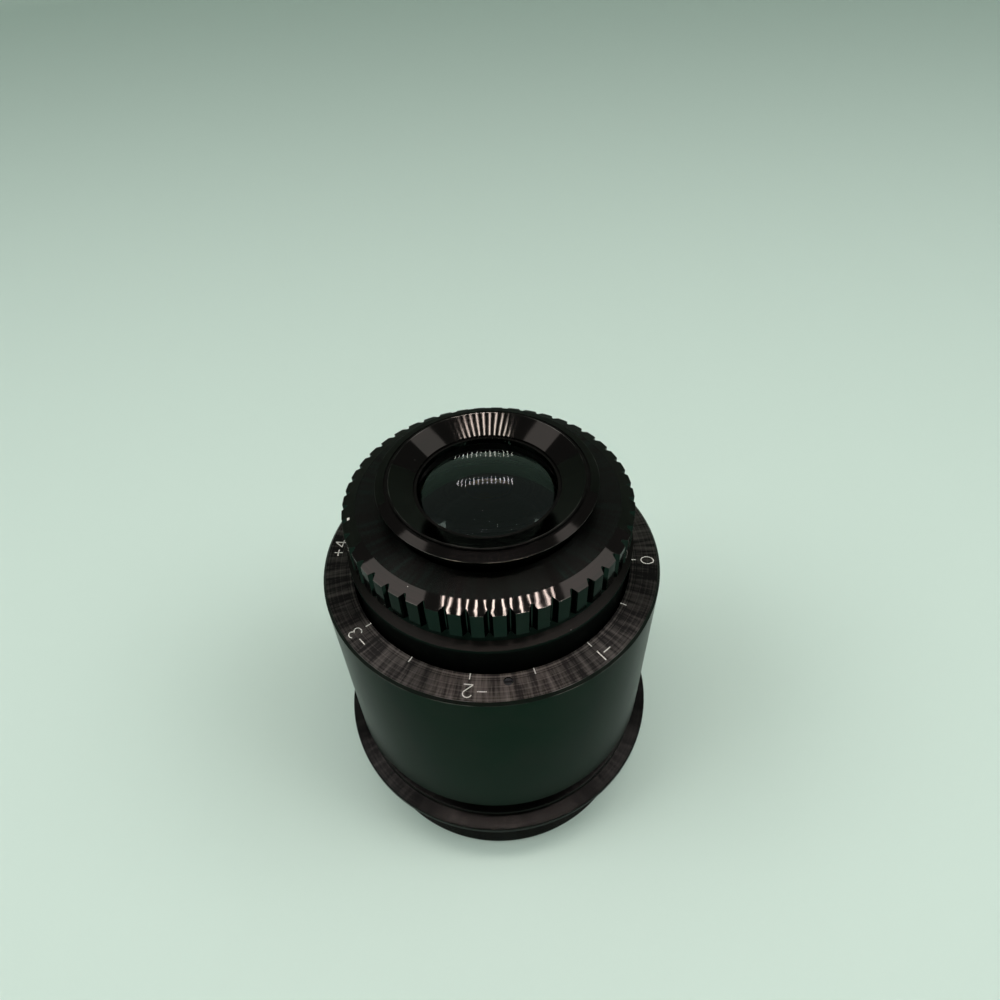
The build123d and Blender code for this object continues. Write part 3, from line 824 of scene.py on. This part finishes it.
@dataclass
class LensStack:
    """Glass of the carriage: a cemented eye pair, a centre lens and a cemented field pair.

    The curves are in millimetres, and the field pair's rear is as good as flat.
    """

    eye_front_curve: float = 39.96
    eye_rear_curve: float = 60.0
    centre_front_curve: float = 41.98
    centre_rear_curve: float = 98.4
    field_front_curve: float = 65.6
    field_rear_curve: float = 1000.0

    def build(self) -> None:
        """Builds each lens between the heights of its nodes in the frame."""
        plan = (
            ("eye_lens_glass", ("eye_crown", "eye_flint"), self.eye_front_curve, self.eye_rear_curve,
             EYE_GLASS, EYE_FRONT),
            ("centre_lens_glass", ("centre_lens",), self.centre_front_curve, self.centre_rear_curve,
             CENTRE_GLASS, CENTRE_GLASS),
            ("field_lens_glass", ("field_crown", "field_flint"), self.field_front_curve,
             self.field_rear_curve, FIELD_GLASS, FIELD_GLASS),
        )
        for name, nodes, front_curve, rear_curve, glass, front in plan:
            low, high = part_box(nodes[-1])[0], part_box(nodes[0])[1]
            Lens(name, nodes, high[0] / MM, high[2] / MM, front_curve, low[2] / MM, -rear_curve, glass,
                 front).build()


@dataclass
class Studio:
    """Pale floor that curves up into a wall all round, a panel of small lamps, soft fill and camera.

    Lengths are in metres and angles in degrees. What lights the black glass from inside would hide
    its depth, so only the panel can be seen through the lenses.
    """

    floor_colour: str = "#d8eadf"
    floor_radius: float = 1.1
    wall_radius: float = 1.6
    wall_height: float = 1.3
    floor_segments: int = 96
    panel_height: float = 0.40
    panel_lean: tuple[float, float, float] = (0.03, -0.11, 0.99)
    panel_width: float = 0.31
    panel_columns: int = 14
    lamp_width_share: float = 0.22
    lamp_length_share: float = 2.4
    lamp_colour: str = "#fff6f2"
    lamp_glow: float = 40.0
    roof_place: float = 0.33
    roof_shift: float = -0.04
    roof_width: float = 0.30
    roof_depth: float = 0.40
    roof_power: float = 0.6
    fill_place: tuple[float, float, float] = (0.9, -0.2, 1.0)
    fill_size: float = 0.7
    fill_power: float = 4.0
    room_colour: str = "#dfe3e2"
    room_glow: float = 0.26
    camera_place: tuple[float, float, float] = (0.0021, -0.0881, 0.1658)
    camera_pitch: float = 44.96
    camera_roll: float = -2.27
    focal_length: float = 25.2

    def floor(self) -> None:
        """Builds the sweep: a flat disc, then a quarter turn of an ellipse up to the wall."""
        bend = np.radians(np.linspace(0, 90, 24))
        width, height = self.wall_radius - self.floor_radius, self.wall_height
        curve = np.stack([self.floor_radius + width * np.sin(bend), height * (1 - np.cos(bend))], axis=-1)
        profile = np.concatenate([[(0.001, 0.0), (0.3, 0.0)], curve])
        points = lathe(profile, self.floor_segments)
        faces = grid_faces(len(profile), self.floor_segments, wrap_columns=True)
        mesh = bpy.data.meshes.new("floor")
        mesh.from_pydata(points.tolist(), [], faces.tolist())
        mesh.polygons.foreach_set("use_smooth", np.ones(len(mesh.polygons), dtype=bool))
        material, tree = new_material("pale_paper_floor")
        shader = add_node(tree, "ShaderNodeBsdfPrincipled", {"Base Color": linear(self.floor_colour),
                                                             "Roughness": 0.6})
        add_node(tree, "ShaderNodeOutputMaterial", {"Surface": shader.outputs[0]})
        mesh.materials.append(material)
        floor = bpy.data.objects.new("floor", mesh)
        bpy.context.scene.collection.objects.link(floor)
        floor.visible_transmission = False
        floor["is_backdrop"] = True

    def area(self, name: str, place: Vector, target: Vector, width: float, depth: float,
             power: float) -> bpy.types.Object:
        """Adds a rectangular soft lamp at a place, aimed at a target.

        Args:
            name: Name of the lamp.
            place: Where it hangs.
            target: What it points at.
            width: Its width.
            depth: Its depth.
            power: Its power in watts.

        Returns:
            The lamp.
        """
        data = bpy.data.lights.new(name, "AREA")
        data.shape = "RECTANGLE"
        data.size, data.size_y, data.energy = width, depth, power
        lamp = bpy.data.objects.new(name, data)
        aim = (target - place).to_track_quat("-Z", "Y").to_matrix().to_4x4()
        lamp.matrix_world = Matrix.Translation(place) @ aim
        bpy.context.scene.collection.objects.link(lamp)
        return lamp

    def panel(self, centre: Vector) -> None:
        """Hangs the panel overhead, whose row of narrow lamps shows as dashes and streaks in gloss.

        Lamp i is a rectangle round the point (i + 1/2) pitch, counted from the panel's left end.

        Args:
            centre: The point under the panel that it faces.
        """
        lean = Vector(self.panel_lean).normalized()
        level = (Vector((1, 0, 0)) - lean.x * lean).normalized()
        pitch = self.panel_width / self.panel_columns
        middle = (np.arange(self.panel_columns) + 0.5) * pitch - self.panel_width / 2
        half = np.array([self.lamp_width_share, self.lamp_length_share, 0.0]) * pitch / 2
        corners = np.array([(-1, -1, 0), (-1, 1, 0), (1, 1, 0), (1, -1, 0)]) * half
        spots = np.stack([middle, 0 * middle, 0 * middle], axis=-1)[:, None, :] + corners
        faces = np.arange(4 * len(middle)).reshape(-1, 4)
        mesh = bpy.data.meshes.new("lamp_panel")
        mesh.from_pydata(spots.reshape(-1, 3).tolist(), [], faces.tolist())
        material, tree = new_material("white_lamp_glow")
        emission = add_node(tree, "ShaderNodeEmission", {"Color": linear(self.lamp_colour),
                                                         "Strength": self.lamp_glow})
        add_node(tree, "ShaderNodeOutputMaterial", {"Surface": emission.outputs[0]})
        mesh.materials.append(material)
        panel = bpy.data.objects.new("lamp_panel", mesh)
        aim = Matrix((level, lean.cross(level), lean)).transposed().to_4x4()
        mesh.transform(Matrix.Translation(centre + lean * self.panel_height) @ aim)
        bpy.context.scene.collection.objects.link(panel)
        panel.visible_camera = False
        panel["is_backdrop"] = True

    def world(self) -> None:
        """Gives an even pale light from all round, which the open top of the sweep lets in."""
        world = bpy.data.worlds.new("pale_room")
        world.use_nodes = True
        world.node_tree.nodes.clear()
        shade = add_node(world.node_tree, "ShaderNodeBackground", {"Color": linear(self.room_colour),
                                                                   "Strength": self.room_glow})
        add_node(world.node_tree, "ShaderNodeOutputWorld", {"Surface": shade.outputs[0]})
        bpy.context.scene.world = world
        world.cycles_visibility.transmission = False

    def camera(self) -> None:
        """Sets the camera at the photograph's place, pitch and roll, with a square picture."""
        pitch, roll = radians(self.camera_pitch), radians(self.camera_roll)
        forward = Vector((0, cos(pitch), -sin(pitch)))
        level = Vector((1, 0, 0))
        above = level.cross(forward)
        right = cos(roll) * level + sin(roll) * above
        up = cos(roll) * above - sin(roll) * level
        data = bpy.data.cameras.new("camera")
        data.lens, data.sensor_width = self.focal_length, 36.0
        data.clip_start = 0.005
        camera = bpy.data.objects.new("camera", data)
        turn = Matrix((right, up, -forward)).transposed().to_4x4()
        camera.matrix_world = Matrix.Translation(Vector(self.camera_place)) @ turn
        bpy.context.scene.collection.objects.link(camera)
        bpy.context.scene.camera = camera

    def build(self) -> None:
        """Builds floor, lamps, world and camera."""
        low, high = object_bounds()
        face = Vector((0, 0, high[2]))
        self.floor()
        self.panel(face)
        across, behind, above = self.fill_place
        for side, name in ((-1, "left"), (1, "right")):
            place = face + Vector((side * self.roof_place, self.roof_shift, self.panel_height))
            roof = self.area("roof_" + name, place, place - Vector((0, 0, 1)), self.roof_width,
                             self.roof_depth, self.roof_power)
            roof.visible_transmission = False
            fill = self.area("fill_" + name, Vector((side * across, behind, above)), face,
                             self.fill_size, self.fill_size, self.fill_power)
            fill.visible_glossy = False
            fill.visible_transmission = False
        self.world()
        self.camera()
        bpy.context.scene.view_settings.view_transform = "Standard"


def main() -> None:
    """Builds and dresses the sub-assemblies in order."""
    logging.basicConfig(level=logging.INFO, format="%(name)s %(message)s")
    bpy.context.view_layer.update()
    finishes = {
        "body_sleeve": BODY_BLACK, "mount_flange": FLANGE_BLACK, "face_screw": DARK_STEEL,
        "guide_tube": GUIDE_BRASS, "field_stop": INNER_BLACK, "guide_screws": DARK_STEEL,
        "stop_block": GUIDE_BRASS, "block_screws": DARK_STEEL, "lens_tube": INNER_BLACK,
        "thrust_nut": GUIDE_BRASS, "thrust_washer": BRIGHT_STEEL, "eye_cup": CUP_BLACK,
        "eye_ring": CUP_BLACK, "lens_spacer": INNER_BLACK, "field_ring": INNER_BLACK,
        "grip_ring": RING_BLACK, "grip_screws": DARK_STEEL, "helicoid_sleeve": INNER_BLACK,
        "stop_pin": BRIGHT_STEEL,
    }
    for node, finish in finishes.items():
        dress(node, finish.material())
    ThreadedMount().build()
    ScaleFace().build()
    GripRing().build()
    LensStack().build()
    Studio().build()


if __name__ == "__main__":
    main()
